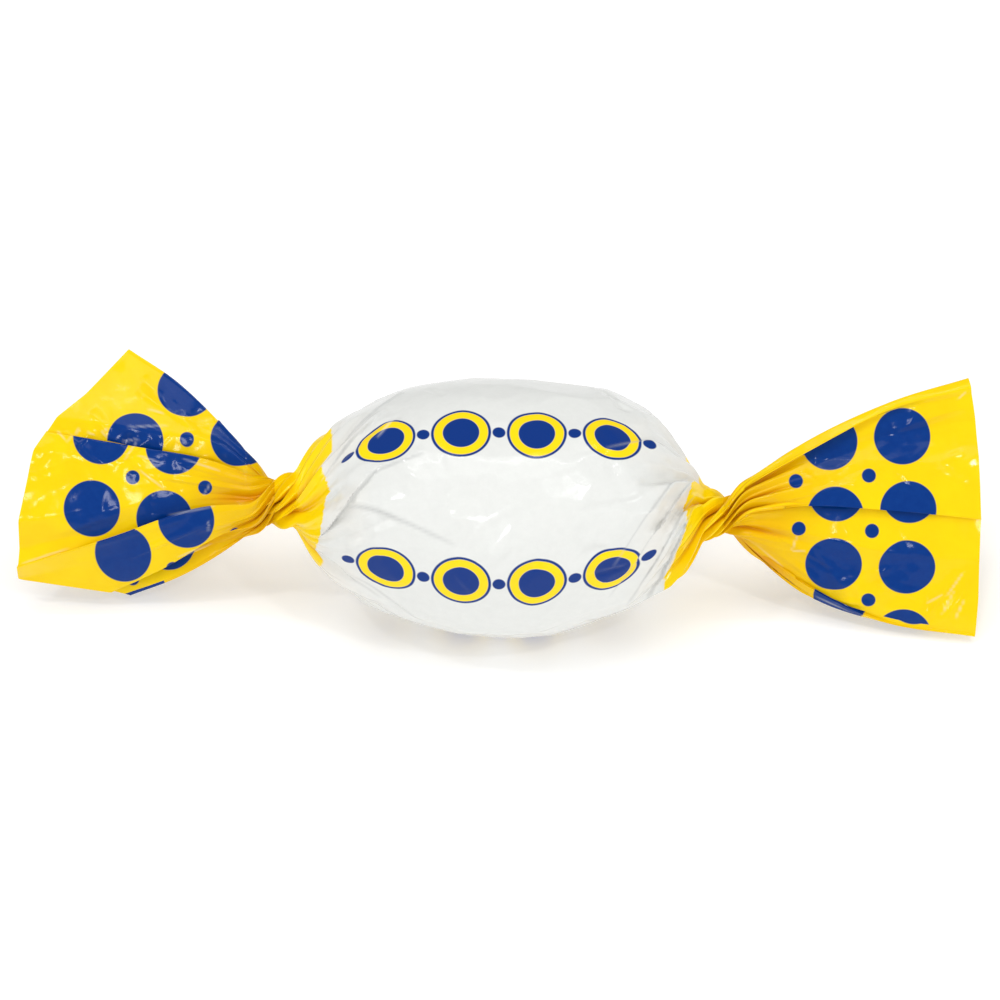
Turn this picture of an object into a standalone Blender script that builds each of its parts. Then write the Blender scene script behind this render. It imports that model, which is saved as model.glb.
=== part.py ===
"""Twist-wrapped caramel: one sweet in printed film, twisted shut at both ends, as one closed solid.

The sweet lies along X on a small flat spot under its belly, and Z is up. Its shape is worked out
in the wrapper's own frame: X along the sweet, W up across the faces of its tails and D out of
them. That frame leans back by FACE_LEAN, because the tails face up and forward.

The skin is a stack of closed rings, from the cut end of one tail to that of the other. Around
the belly and the necks a ring is a circle with pleats. In a tail it is a thin fan that is ruled
from the neck to the tail's cut edge and creased along the lines given there.
"""

from math import atan2, cos, pi, radians, sin

import bmesh
import bpy
from mathutils import Vector

MM = 0.001
LENGTH_HALF = 37.5

# Belly, in millimetres
BELLY_RADIUS = 9.85
BELLY_LEFT = (15.9, 2.0, 2.0)  # length to where the round end would close, and the powers of its curve
BELLY_RIGHT = (16.0, 2.4, 1.9)
BELLY_SQUARENESS = 2.15
FLAT_SPOT_DEPTH = 0.25
AXIS_HEIGHT = BELLY_RADIUS - FLAT_SPOT_DEPTH
FACE_LEAN = radians(45)

# Necks, where the film is twisted shut
NECK_X = 17.4
NECK_RADIUS_LEFT = 1.6
NECK_RADIUS_RIGHT = 1.4
NECK_RISE = 0.55
SHOULDER_RISE = 0.6
NECK_FLARE = 0.5
NECK_REACH = 4.0
BLEND_POWER = 4

# Pleats and twist of the film, which turns the same way at both ends
PLEATS = 8
POINTS_A_PLEAT = 8
RING_POINTS = PLEATS * POINTS_A_PLEAT
PLEAT_DEPTH_NECK = 0.36
PLEAT_DEPTH_SHOULDER = 0.5
PLEAT_START_X = 9.5
NECK_TURN = pi
TWIST_START_X = 8.0
TWIST_END_X = 19.4
TWIST_STEPS = 60

# Rings between the cut ends
BELLY_RINGS = 30
NECK_RINGS = 9
TAIL_RINGS = 13

# Tails. A crease is (share of the way from the lower edge to the upper one, X, W, D at the cut edge)
LEFT_CREASES = (
    (0.00, -28.9, -6.9, -5.0),
    (0.14, -37.7, -5.5, -4.6),
    (0.24, -37.5, -4.0, -2.2),
    (0.30, -37.5, -3.2, -3.0),
    (0.46, -37.3, -0.6, -0.6),
    (0.62, -36.6, 3.4, 0.6),
    (0.67, -36.0, 4.6, -0.2),
    (0.83, -33.1, 8.1, -0.6),
    (0.92, -31.1, 10.2, -2.2),
    (1.00, -28.8, 12.5, -2.4),
)
RIGHT_CREASES = (
    (0.00, 37.2, -10.1, -2.5),
    (0.10, 37.35, -7.9, -1.4),
    (0.17, 37.45, -6.5, -2.0),
    (0.36, 37.5, -2.7, 0.0),
    (0.50, 37.5, 0.1, 1.0),
    (0.56, 37.5, 1.3, 0.2),
    (0.74, 37.2, 4.9, 0.5),
    (0.88, 36.8, 7.8, 1.1),
    (0.93, 36.7, 8.8, 0.2),
    (1.00, 36.5, 10.2, -0.5),
)
TAIL_END_THICKNESS = 1.1
TAIL_THINNING_POWER = 3.0
LEFT_SPREAD_POWERS = (1.35, 1.15)
RIGHT_SPREAD_POWERS = (2.4, 1.65)
EDGE_ROUNDING = 8
CREASE_RELIEF = 0.16

# Colours of the print
FILM_WHITE = (0.86, 0.86, 0.82, 1.0)
FILM_YELLOW = (0.93, 0.66, 0.02, 1.0)
FILM_ROUGHNESS = 0.22
WHITE_HALF_LENGTH = 15.0


def mix(a, b, share):
    return a + (b - a) * share


def ease(value, start, end):
    """0 before start, 1 after end and a smooth step between them."""
    share = min(1.0, max(0.0, (value - start) / (end - start)))
    return share * share * (3 - 2 * share)


def neck_radius(side):
    return NECK_RADIUS_LEFT if side < 0 else NECK_RADIUS_RIGHT


def centre_w(x):
    """Height of the sweet's own axis: it runs a little downhill from the left neck to the right,
    but for a rise at the sweet's fuller right shoulder."""
    shoulder = SHOULDER_RISE * ease(x, 2.0, 8.0) * (1 - ease(x, 11.0, 14.5))
    return shoulder - NECK_RISE * max(-1.0, min(1.0, x / NECK_X))


def skin_radius(x):
    """Mean radius of the film at x: a lemon that runs out into a cone at each neck."""
    half_length, power, root = BELLY_LEFT if x < 0 else BELLY_RIGHT
    lemon = BELLY_RADIUS * max(0.0, 1 - (abs(x) / half_length) ** power) ** (1 / root)
    inward = NECK_X - abs(x)
    cone = neck_radius(x) + NECK_FLARE * inward / (1 + inward / NECK_REACH)
    if abs(x) >= half_length:
        return cone
    return (lemon**BLEND_POWER + cone**BLEND_POWER) ** (1 / BLEND_POWER)


def twist_rate(distance):
    """How fast the film turns about X at a distance from the middle: fastest where it is thinnest."""
    grip = ease(distance, TWIST_START_X, NECK_X - 1.5) * (1 - ease(distance, NECK_X + 0.6, TWIST_END_X))
    return grip / skin_radius(min(distance, NECK_X))


def twist_from(distance):
    """The turn, on no scale, that lies further from the middle than this."""
    step = (TWIST_END_X - distance) / TWIST_STEPS
    return sum(twist_rate(distance + (i + 0.5) * step) for i in range(TWIST_STEPS)) * step


def twist(x):
    """Turn of the film at x against the tail on its side. It is half a turn in the whole belly,
    so the two halves meet, and the strands rise to the right on the front of both necks."""
    if abs(x) >= TWIST_END_X:
        return 0.0
    turn = NECK_TURN * twist_from(abs(x)) / twist_from(TWIST_START_X)
    return -turn if x > 0 else turn


def to_world(x, w, d):
    """A point of the wrapper's frame, in millimetres, as a point in metres above the table."""
    y = w * sin(FACE_LEAN) - d * cos(FACE_LEAN)
    z = AXIS_HEIGHT + w * cos(FACE_LEAN) + d * sin(FACE_LEAN)
    return Vector((x, y, max(z, 0.0))) * MM


def section_swell(angle):
    """How far the belly's squarish section stands out at an angle from D towards W."""
    upright = angle - FACE_LEAN
    return (abs(cos(upright)) ** BELLY_SQUARENESS + abs(sin(upright)) ** BELLY_SQUARENESS) ** (
        -1 / BELLY_SQUARENESS
    )


def ring_angle(index):
    """Angle of a film line in a tail: index 0 is the lower edge, and half-way round is the upper."""
    return -pi / 2 + 2 * pi * index / RING_POINTS


def pleat_wave(index):
    """Height of the pleats at a film line, from -1 in a groove to 1 on a ridge, which is sharper."""
    wave = cos(2 * pi * index / POINTS_A_PLEAT)
    return 1 - 2 * (0.5 * (1 - wave)) ** 0.7


def belly_ring(x):
    """Points of a ring on the belly or a neck."""
    radius = skin_radius(x)
    roundness = ease(abs(x), 0.6 * NECK_X, NECK_X)
    depth = mix(
        PLEAT_DEPTH_SHOULDER * ease(abs(x), PLEAT_START_X, 13.0),
        PLEAT_DEPTH_NECK,
        ease(abs(x), 13.5, NECK_X),
    )
    turn = twist(max(TWIST_START_X, abs(x)) * (1 if x > 0 else -1))
    points = []
    for index in range(RING_POINTS):
        angle = ring_angle(index) + turn
        swell = mix(section_swell(angle), 1.0, roundness)
        reach = radius * swell + depth * pleat_wave(index)
        points.append(to_world(x, centre_w(x) + reach * sin(angle), reach * cos(angle)))
    return points


def crease_point(creases, share):
    """Place on a tail's cut edge at a share of the way up it."""
    for low, high in zip(creases, creases[1:]):
        if share <= high[0]:
            part = (share - low[0]) / (high[0] - low[0])
            return [mix(a, b, part) for a, b in zip(low[1:], high[1:])]
    return list(creases[-1][1:])


def tail_ring(side, out):
    """Points of a ring in a tail, where out runs from 0 at the neck to 1 at the cut edge."""
    creases, powers = (
        (LEFT_CREASES, LEFT_SPREAD_POWERS) if side < 0 else (RIGHT_CREASES, RIGHT_SPREAD_POWERS)
    )
    radius = neck_radius(side)
    fan = ease(out, 0.0, 0.45)
    thickness = mix(2 * radius, TAIL_END_THICKNESS, 1 - (1 - out) ** TAIL_THINNING_POWER)
    relief = mix(PLEAT_DEPTH_NECK, CREASE_RELIEF * TAIL_END_THICKNESS, ease(out, 0.0, 0.5))
    turn = twist(mix(side * NECK_X, side * LENGTH_HALF, out))
    points = []
    for index in range(RING_POINTS):
        angle = ring_angle(index) + turn
        rise = sin(angle)
        front = 1 if cos(angle) >= 0 else -1
        even = 2 / pi * atan2(rise, abs(cos(angle)))
        across = mix(rise, even, fan)
        share = 0.5 * (1 + across)
        edge_x, edge_w, edge_d = crease_point(creases, share)
        power = mix(powers[0], powers[1], share)
        spread = 1 - (1 - out) ** power
        settle = ease(out, 0.0, 0.12)
        body = mix(abs(cos(angle)), 1 - abs(across) ** EDGE_ROUNDING, fan)
        wave = relief * pleat_wave(index) * body
        x = mix(side * NECK_X, edge_x, out)
        w = centre_w(x) + radius * rise * (1 - spread)
        w += (edge_w - centre_w(x)) * spread * mix(0.6, 1.0, settle)
        w += PLEAT_DEPTH_NECK * pleat_wave(index) * rise * (1 - settle)
        d = edge_d * ease(out, -0.1, 0.75) * out**0.5 + front * (0.5 * thickness * body + wave)
        points.append(to_world(x, w, d))
    return points


def stations(start, end, count):
    return [mix(start, end, i / count) for i in range(count + 1)]


def all_rings():
    """Rings of the whole skin, from the left tail's cut edge to the right one's."""
    rings = [tail_ring(-1, 1 - out) for out in stations(0.0, 1.0, TAIL_RINGS)[:-1]]
    neck_in = 14.0
    rings += [belly_ring(x) for x in stations(-NECK_X, -neck_in, NECK_RINGS)[:-1]]
    rings += [belly_ring(x) for x in stations(-neck_in, neck_in, BELLY_RINGS)]
    rings += [belly_ring(x) for x in stations(neck_in, NECK_X, NECK_RINGS)[1:]]
    rings += [tail_ring(1, out) for out in stations(0.0, 1.0, TAIL_RINGS)[1:]]
    return rings


def film_material(name, colour):
    material = bpy.data.materials.new(name)
    material.use_nodes = True
    shader = material.node_tree.nodes["Principled BSDF"]
    shader.inputs["Base Color"].default_value = colour
    shader.inputs["Roughness"].default_value = FILM_ROUGHNESS
    shader.inputs["Metallic"].default_value = 0.0
    return material


def close_end(bm, ring, inward):
    """Fills a tail's cut edge with a ladder of faces between its front and its back."""
    half = RING_POINTS // 2
    for index in range(half):
        corners = [ring[index], ring[index + 1], ring[RING_POINTS - index - 1]]
        if index > 0:
            corners.append(ring[RING_POINTS - index])
        corners = list(dict.fromkeys(corners))
        bm.faces.new(corners if inward else corners[::-1])


def wrapped_sweet():
    """Skins the rings, closes both cut edges and colours the white middle of the print."""
    bm = bmesh.new()
    rings = [[bm.verts.new(point) for point in ring] for ring in all_rings()]
    for left, right in zip(rings, rings[1:]):
        for index in range(RING_POINTS):
            after = (index + 1) % RING_POINTS
            bm.faces.new((left[index], right[index], right[after], left[after]))
    close_end(bm, rings[0], True)
    close_end(bm, rings[-1], False)
    bmesh.ops.triangulate(bm, faces=bm.faces[:])
    bmesh.ops.recalc_face_normals(bm, faces=bm.faces[:])
    for face in bm.faces:
        face.smooth = True
        face.material_index = int(abs(face.calc_center_median().x) > WHITE_HALF_LENGTH * MM)
    mesh = bpy.data.meshes.new("wrapped_caramel")
    bm.to_mesh(mesh)
    bm.free()
    mesh.materials.append(film_material("film_white", FILM_WHITE))
    mesh.materials.append(film_material("film_yellow", FILM_YELLOW))
    sweet = bpy.data.objects.new("wrapped_caramel", mesh)
    bpy.context.scene.collection.objects.link(sweet)


for old in list(bpy.data.objects):
    bpy.data.objects.remove(old)
wrapped_sweet()
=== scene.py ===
"""Looks of the twist-wrapped caramel: its printed film, folded and creased, and a plain studio.

The film is made in the wrapper's own frame, in millimetres: X runs along the sweet, W up across
the faces of its tails and D out of them, towards the viewer. That frame leans back from upright.
Every piece starts as a flat sheet with its rows along the film and its columns across it. The
sheet is then rolled, twisted and folded into place, and its long edges are joined.
"""

from collections import namedtuple
from math import cos, pi, radians, sin

import bpy
import numpy as np
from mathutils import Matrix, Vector


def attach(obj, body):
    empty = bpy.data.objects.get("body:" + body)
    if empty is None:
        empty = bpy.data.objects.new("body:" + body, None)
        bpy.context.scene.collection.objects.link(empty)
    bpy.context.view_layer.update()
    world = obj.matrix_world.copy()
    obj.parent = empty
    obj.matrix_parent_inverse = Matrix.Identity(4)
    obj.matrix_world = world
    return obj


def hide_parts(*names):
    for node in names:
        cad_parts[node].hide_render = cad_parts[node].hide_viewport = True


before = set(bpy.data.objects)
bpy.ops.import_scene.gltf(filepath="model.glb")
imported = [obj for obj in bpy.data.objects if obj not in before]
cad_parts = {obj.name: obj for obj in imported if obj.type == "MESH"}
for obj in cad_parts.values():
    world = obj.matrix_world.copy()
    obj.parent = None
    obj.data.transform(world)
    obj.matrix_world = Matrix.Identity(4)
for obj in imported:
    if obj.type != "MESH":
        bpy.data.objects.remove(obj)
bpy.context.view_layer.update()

bl_info = {
    "name": "Twist-wrapped caramel",
    "version": (1, 0, 0),
    "blender": (4, 5, 0),
    "location": "3D View > Sidebar > Caramel",
    "description": "Makes the printed film of a twist-wrapped caramel and a studio round it",
    "category": "Mesh",
}

NODE = "wrapped_caramel"
BODY = "root"
MM = 0.001
FILM_MAP = "film"
# Attribute of painted shade in the pleat valleys near the necks, partly the deeper colour of film
# tucked in layers
PAINTED_PLEAT_SHADE = "tuck"
# Attribute of white along thin creases and pleat ridges: partly film turned white, partly painted
# highlights
WHITENING_AND_GLINT = "whitening_and_glint"
PAST = "past"
# Attribute of grey painted shade at the foot of steep creases on the belly
PAINTED_CREASE_SHADE = "painted_crease_shade"

# How finely each sheet is divided: rows along the film, columns across it
BELLY_ROWS = 250
BELLY_COLUMNS = 300
TAIL_ROWS = 120
TAIL_COLUMNS = 350
LEAST_COLUMNS = 7
RIM_COLUMNS = 3
MERGE_DISTANCE = 1e-6

# Shift of the print, in millimetres, that leaves a tucked part of a tail plain
PLAIN = -40.0

# The belly of the sweet, and the way that its film is gathered into the necks. Pairs are for the
# left end and the right one, and ramps are distances from the belly's middle, in millimetres.
END_POWERS = (2.0, 2.4)
END_ROOTS = (2.0, 1.9)
LEMON_POWER = 4
SHOULDER_LIFT = (2.0, 8.0)
SHOULDER_FALL = (11.0, 14.5)
NECK_FLARE = 0.5
NECK_REACH = 4.0
TWIST_START = 8.0
TWIST_END = 20.2
TWIST_FULL_BEFORE = 1.5
TWIST_FULL_PAST = 0.4
TWIST_SAMPLES = 240
TUCKED_LENGTH = 0.7
TUCKED_SHARE = 0.35
EVEN_ROWS = 0.72
CLOSER_ROWS = 0.28
ROUND_FROM = 0.6

# Shares of the way round the film at which its join and the middle of its front lie
JOIN = 0.25
FRONT = 0.75

# Pleats: their heights in millimetres, where they start and meet those of the neck, and the
# heights, on the scale of Pleats, past which painted shade lies in the valleys (partly film tucked
# in layers) and a painted highlight lies on the ridges
NECK_PLEAT = 0.62
NECK_FINE_PLEAT = 0.15
BELLY_PLEAT = 0.6
BELLY_FINE_PLEAT = 0.17
PLEAT_BALANCE = 0.4
PLEAT_RAMP = 4.0
FINE_PLEAT_LEAD = 1.5
FINE_PLEAT_RAMP = 3.5
NECK_PLEAT_FROM = 13.5
NECK_FINE_PLEAT_FROM = 14.0
PLEAT_SHADE_HEIGHTS = (0.1, 0.9)
PLEAT_SHADE_MARGIN = 1.0
RIDGE_GLINT_HEIGHTS = (0.7, 1.0)
RIDGE_GLINT_SHARE = 0.5
RIDGE_GLINT_FROM = (14.0, 16.5)

# The slack of the belly's film, the widths of its thin lines of painted highlight (partly film turned
# white) and of painted shade at the foot of steep creases, and where it turns yellow on either side
CALM_RAMP = (14.5, 16.5)
SLACK_MIDDLE = 0.16
SLACK_ADDED = 0.44
SLACK_RAMP = (5.0, 12.0)
YELLOW_FROM_LEFT = 13.6
YELLOW_FROM_RIGHT = 14.8
YELLOW_DRAWN_LOW = 1.7
LOW_RAMP = (0.5, 6.0)
BELLY_HAIRLINE = 0.2
PAINTED_CREASE_SHADE_HAIRLINE = 0.24
PAINTED_CREASE_SHADE_FROM = 8.0
PAINTED_CREASE_SHADE_OFFSET = 0.6

# Flat facets that the belly's film is pulled into: their number, how far from the middle they
# lie, how deep they cut and how far they reach, in millimetres, and how flat they are
FACETS = 120
FACET_SPAN = 11.5
FACET_CUTS = (0.03, 0.13)
FACET_REACH = 4.5
FACET_FIRMNESS = 0.85

# The film of a tail: heights and half widths in millimetres, and its flutter's paces in radians to
# a millimetre, then the shares of the way out between which each comes in or falls off
BULGE = 0.16
LEAST_BULGE = 0.4
TAIL_PLEAT = 0.13
TAIL_FINE_PLEAT = 0.06
FLUTTER = 0.16
FLUTTER_START = 0.9
FLUTTER_PACES = (0.55, 0.42, 0.35)
TAIL_CRUMPLE = 0.42
TAIL_HAIRLINE = 0.11
HAIRLINE_HEIGHT = 0.08
MIDDLE_WIDTH_SHARE = 0.6
ROWS_POWER = 1.15
BULGE_RAMP = (0.2, 0.8)
PLEAT_RISE = (0.0, 0.12)
PLEAT_FALL = (0.12, 0.55)
FLUTTER_RAMP = (0.3, 1.0)
HAIRLINE_RAMP = (0.1, 0.25)
CRUMPLE_RAMP = (0.08, 0.4)
RIDGE_GLINT_FALL = (0.0, 0.3)
PLEAT_SHADE_FALL = (0.03, 0.4)

# The crease that both tails have at the top
UPPER_EDGE = "fold: upper edge"

# A tail's creases in order round the film, from the lower edge up the front, over the upper edge
# and down the back. Each gives where it is a third, two thirds and all of the way to the cut
# edge, as X, W and D. The print breaks at each crease whose name starts with "fold", where the
# part before it shows round the rim of the fold, or with "lap", where the part after it does.
LEFT_TAIL = (
    ("lap: lower edge", ((-21.2, -3.15, -1.7), (-25.0, -5.35, -3.5), (-28.9, -6.85, -5.3))),
    ("under flap, end", ((-22.5, -2.2, -1.9), (-28.0, -3.6, -3.9), (-33.0, -4.8, -5.9))),
    ("lap: flap, lower edge", ((-21.9, -2.26, -0.8), (-26.1, -4.75, -2.7), (-30.3, -6.7, -4.7))),
    ("flap, corner", ((-24.3, -1.9, -0.4), (-30.8, -4.0, -2.2), (-37.75, -5.6, -4.4))),
    ("fold: flap, upper edge", ((-23.3, 0.1, 0.45), (-30.2, -2.2, -0.5), (-37.7, -4.65, -2.3))),
    ("middle, tucked edge", ((-23.0, -0.5, -0.3), (-29.9, -2.5, -1.3), (-37.6, -4.4, -2.5))),
    ("middle, foot", ((-23.5, 0.5, -0.1), (-30.3, -1.4, -1.15), (-37.5, -3.2, -2.5))),
    ("middle, low", ((-24.0, 1.2, 0.0), (-30.7, -0.2, -0.5), (-37.45, -1.0, -0.7))),
    ("middle, high", ((-23.7, 2.6, 0.3), (-29.9, 3.3, 0.3), (-36.2, 4.5, 0.2))),
    ("fold: middle, upper edge", ((-22.6, 3.85, 0.5), (-28.2, 4.85, 0.3), (-35.2, 6.0, -0.1))),
    ("fold: top, tucked edge", ((-22.4, 2.5, -0.4), (-28.0, 4.2, -0.25), (-35.2, 5.9, -0.25))),
    ("top, ridge", ((-22.0, 5.0, 0.15), (-27.5, 6.0, 0.15), (-34.4, 7.1, -0.2))),
    ("top, middle", ((-21.7, 5.6, -0.3), (-26.5, 8.2, -0.7), (-32.2, 8.9, -1.0))),
    (UPPER_EDGE, ((-21.1, 6.0, -0.6), (-24.9, 9.8, -1.3), (-28.8, 12.55, -2.2))),
    ("back, high", ((-22.0, 4.0, -1.3), (-27.5, 6.5, -1.6), (-33.2, 7.7, -2.2))),
    ("back, middle", ((-23.5, 1.0, -1.3), (-30.2, 1.0, -1.3), (-37.2, 0.8, -1.6))),
    ("back, low", ((-23.3, -0.8, -1.8), (-30.0, -2.2, -2.6), (-37.2, -3.2, -3.6))),
    ("back, foot", ((-22.8, -2.2, -2.3), (-29.0, -4.4, -4.6), (-35.0, -5.4, -6.2))),
)
RIGHT_TAIL = (
    ("lap: lower edge", ((23.9, -6.75, -3.0), (30.4, -9.05, -3.0), (37.2, -10.1, -2.5))),
    ("lower band, upper edge", ((23.9, -5.8, -1.9), (30.3, -8.9, -2.6), (37.2, -10.0, -2.3))),
    ("fold: main, tucked edge", ((24.0, -6.5, -2.7), (30.4, -8.9, -2.8), (37.25, -9.9, -2.4))),
    ("main, low", ((23.6, -4.0, -1.3), (30.6, -6.4, -1.7), (37.4, -7.2, -1.5))),
    ("main, low middle", ((23.7, -2.0, -0.2), (30.5, -3.4, -0.3), (37.4, -4.0, -0.4))),
    ("fold: main, middle tuck", ((23.9, 0.7, -0.2), (30.8, 0.25, -0.2), (37.5, -0.75, -0.1))),
    ("lap: main, middle edge", ((23.9, 0.1, 0.4), (30.8, -0.3, 0.3), (37.5, -0.95, 0.05))),
    ("main, high middle", ((23.8, 2.2, 0.2), (30.7, 3.2, 0.0), (37.35, 3.9, -0.2))),
    ("main, dip", ((23.6, 3.6, -0.2), (30.6, 5.7, -0.5), (37.1, 6.9, -0.5))),
    ("fold: main, upper tuck", ((23.7, 5.0, -0.4), (30.4, 7.5, -0.1), (36.75, 8.9, 0.0))),
    ("lap: upper band, lower edge", ((23.8, 4.2, 0.6), (30.4, 7.65, 0.3), (36.7, 9.4, 0.25))),
    (UPPER_EDGE, ((23.9, 5.25, 0.1), (30.4, 8.3, -0.1), (36.5, 10.2, -0.3))),
    ("back, high", ((23.8, 3.4, -1.0), (30.6, 5.6, -1.2), (37.1, 6.4, -1.2))),
    ("back, middle", ((23.9, 0.6, -1.3), (30.8, 0.6, -0.9), (37.5, 0.6, -0.8))),
    ("back, low", ((23.9, -2.4, -1.7), (30.7, -3.8, -1.5), (37.4, -4.6, -1.4))),
    ("back, foot", ((23.9, -5.0, -2.9), (30.5, -7.2, -2.9), (37.2, -8.0, -2.6))),
)


def length_setting(name, description, default):
    return bpy.props.FloatProperty(
        name=name, description=description, default=default, subtype="DISTANCE", unit="LENGTH"
    )


def angle_setting(name, description, default):
    return bpy.props.FloatProperty(
        name=name, description=description, default=default, subtype="ANGLE", unit="ROTATION"
    )


def colour_setting(name, description, default):
    return bpy.props.FloatVectorProperty(
        name=name, description=description, default=default, subtype="COLOR", min=0.0, max=1.0
    )


def share_setting(name, description, default):
    return bpy.props.FloatProperty(
        name=name, description=description, default=default, min=0.0, max=1.0
    )


class CaramelSizes(bpy.types.PropertyGroup):
    """Sizes of the sweet and its film."""

    belly_radius: length_setting("Belly radius", "Half the height of the belly", 9.85 * MM)
    belly_left_length: length_setting(
        "Belly left length",
        "From the middle of the belly to where its round left end would close",
        15.9 * MM,
    )
    belly_right_length: length_setting(
        "Belly right length",
        "From the middle of the belly to where its fuller right end would close",
        16.0 * MM,
    )
    belly_squareness: bpy.props.FloatProperty(
        name="Belly squareness",
        description="2 is a round section, and more is squarer",
        default=2.15,
        min=2.0,
        max=4.0,
    )
    flat_spot: length_setting(
        "Flat spot", "How much of the belly's roundness its own weight has pressed flat", 0.25 * MM
    )
    neck_x: length_setting(
        "Neck distance", "From the middle of the belly to the tightest part of a neck", 17.4 * MM
    )
    neck_rise: length_setting(
        "Neck rise",
        "How far the left neck stands above the middle, and the right one below it",
        0.55 * MM,
    )
    shoulder_rise: length_setting(
        "Shoulder rise", "How far the sweet's right shoulder is lifted", 0.6 * MM
    )
    left_neck_radius: length_setting("Left neck radius", "Radius of the left neck", 1.6 * MM)
    right_neck_radius: length_setting("Right neck radius", "Radius of the right neck", 1.4 * MM)
    film_thickness: length_setting(
        "Film thickness", "Thickness of the film in the tails", 0.1 * MM
    )
    film_round: length_setting(
        "Film round the belly", "Length of film once round the belly", 62.8 * MM
    )
    face_lean: angle_setting(
        "Lean", "How far the tails' faces lean back from upright", radians(45)
    )
    neck_turn: angle_setting("Twist", "Turn of the film in each neck", pi)


class CaramelPrint(bpy.types.PropertyGroup):
    """Colours and sizes of the print."""

    # White of the belly film, which is also painted on creases and ridges of both films as highlight
    white: colour_setting("White", "Film round the belly", (0.775, 0.785, 0.76))
    yellow: colour_setting("Yellow", "Film of the tails", (0.96, 0.685, 0.003))
    # Deep yellow serves for film stacked in layers at the necks and for random cloudy tone, and also
    # as painted shade in the pleat valleys and towards the necks
    deep_yellow: colour_setting(
        "Deep yellow", "Layers of yellow film tucked on each other at the necks", (0.74, 0.32, 0.002)
    )
    blue: colour_setting("Blue", "Dots on the tails and rings on the belly", (0.0, 0.030, 0.205))
    dot_radius: bpy.props.FloatProperty(
        name="Dot radius", description="Radius of a tail's large dots, in mm", default=2.2
    )
    dot_pitch: bpy.props.FloatProperty(
        name="Dot pitch", description="Distance between those dots, in mm", default=5.7
    )
    plain_strip: bpy.props.FloatProperty(
        name="Plain strip",
        description="Width of the strip at the cut edge with no dots, in mm",
        default=3.4,
    )


class CaramelStudio(bpy.types.PropertyGroup):
    """Camera and lamps."""

    elevation: angle_setting("Camera elevation", "How far the camera looks down", radians(45))
    distance: length_setting(
        "Camera distance", "From the camera to the middle of the sweet", 0.432
    )
    lens: bpy.props.FloatProperty(
        name="Lens",
        description="Focal length",
        default=200.0,
        subtype="DISTANCE_CAMERA",
        unit="CAMERA",
    )
    floor_white: share_setting("Floor white", "How much light the floor gives back", 0.82)
    floor_glow: share_setting("Floor glow", "Light of the lit white table itself", 0.25)


def mix(a, b, share):
    return a + (b - a) * share


def ease(value, start, end):
    """0 before start, 1 after end and a smooth step between them."""
    share = np.clip((value - start) / (end - start), 0.0, 1.0)
    return share * share * (3 - 2 * share)


class Form:
    """The sweet's form in the wrapper's frame, in millimetres."""

    def __init__(self, sizes):
        self.radius = sizes.belly_radius / MM
        self.half_lengths = (sizes.belly_left_length / MM, sizes.belly_right_length / MM)
        self.squareness = sizes.belly_squareness
        self.axis_height = (sizes.belly_radius - sizes.flat_spot) / MM
        self.neck_x = sizes.neck_x / MM
        self.neck_rise = sizes.neck_rise / MM
        self.shoulder_rise = sizes.shoulder_rise / MM
        self.neck_radii = (sizes.left_neck_radius / MM, sizes.right_neck_radius / MM)
        self.film = sizes.film_thickness / MM
        self.film_round = sizes.film_round / MM
        self.lean = sizes.face_lean
        self.neck_turn = sizes.neck_turn
        self.distances = np.linspace(TWIST_START, TWIST_END, TWIST_SAMPLES)
        narrow = self.skin_radius(np.minimum(self.distances, self.neck_x))
        grip = ease(self.distances, TWIST_START, self.neck_x - TWIST_FULL_BEFORE)
        grip = grip * (1 - ease(self.distances, self.neck_x + TWIST_FULL_PAST, TWIST_END))
        rate = grip / narrow
        beyond = np.cumsum(rate[::-1])[::-1]
        self.turns = self.neck_turn * beyond / beyond[0]

    def neck_radius(self, x):
        return np.where(x < 0, self.neck_radii[0], self.neck_radii[1])

    def centre_w(self, x):
        shoulder = self.shoulder_rise * ease(x, *SHOULDER_LIFT) * (1 - ease(x, *SHOULDER_FALL))
        return shoulder - self.neck_rise * np.clip(x / self.neck_x, -1.0, 1.0)

    def skin_radius(self, x):
        """Mean radius of the film at x: a lemon that runs out into a cone at each neck."""
        half_length = np.where(x < 0, *self.half_lengths)
        power = np.where(x < 0, *END_POWERS)
        root = np.where(x < 0, *END_ROOTS)
        lemon = self.radius * np.maximum(0.0, 1 - (abs(x) / half_length) ** power) ** (1 / root)
        inward = np.maximum(0.0, self.neck_x - abs(x))
        cone = self.neck_radius(x) + NECK_FLARE * inward / (1 + inward / NECK_REACH)
        return (lemon**LEMON_POWER + cone**LEMON_POWER) ** (1 / LEMON_POWER)

    def twist(self, x):
        """Turn of the film at x against the tail on its side."""
        turn = np.interp(abs(x), self.distances, self.turns, left=self.neck_turn, right=0.0)
        return np.where(x > 0, -turn, turn)

    def swell(self, angle):
        """How far the squarish section stands out at an angle from D towards W."""
        upright = angle - self.lean
        power = self.squareness
        return (abs(np.cos(upright)) ** power + abs(np.sin(upright)) ** power) ** (-1 / power)

    def to_world(self, points):
        """Points of the wrapper's frame, in millimetres, as points in metres above the table."""
        x, w, d = points[..., 0], points[..., 1], points[..., 2]
        y = w * sin(self.lean) - d * cos(self.lean)
        z = self.axis_height + w * cos(self.lean) + d * sin(self.lean)
        return np.stack([x, y, np.maximum(z, 0.0)], axis=-1) * MM


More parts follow.
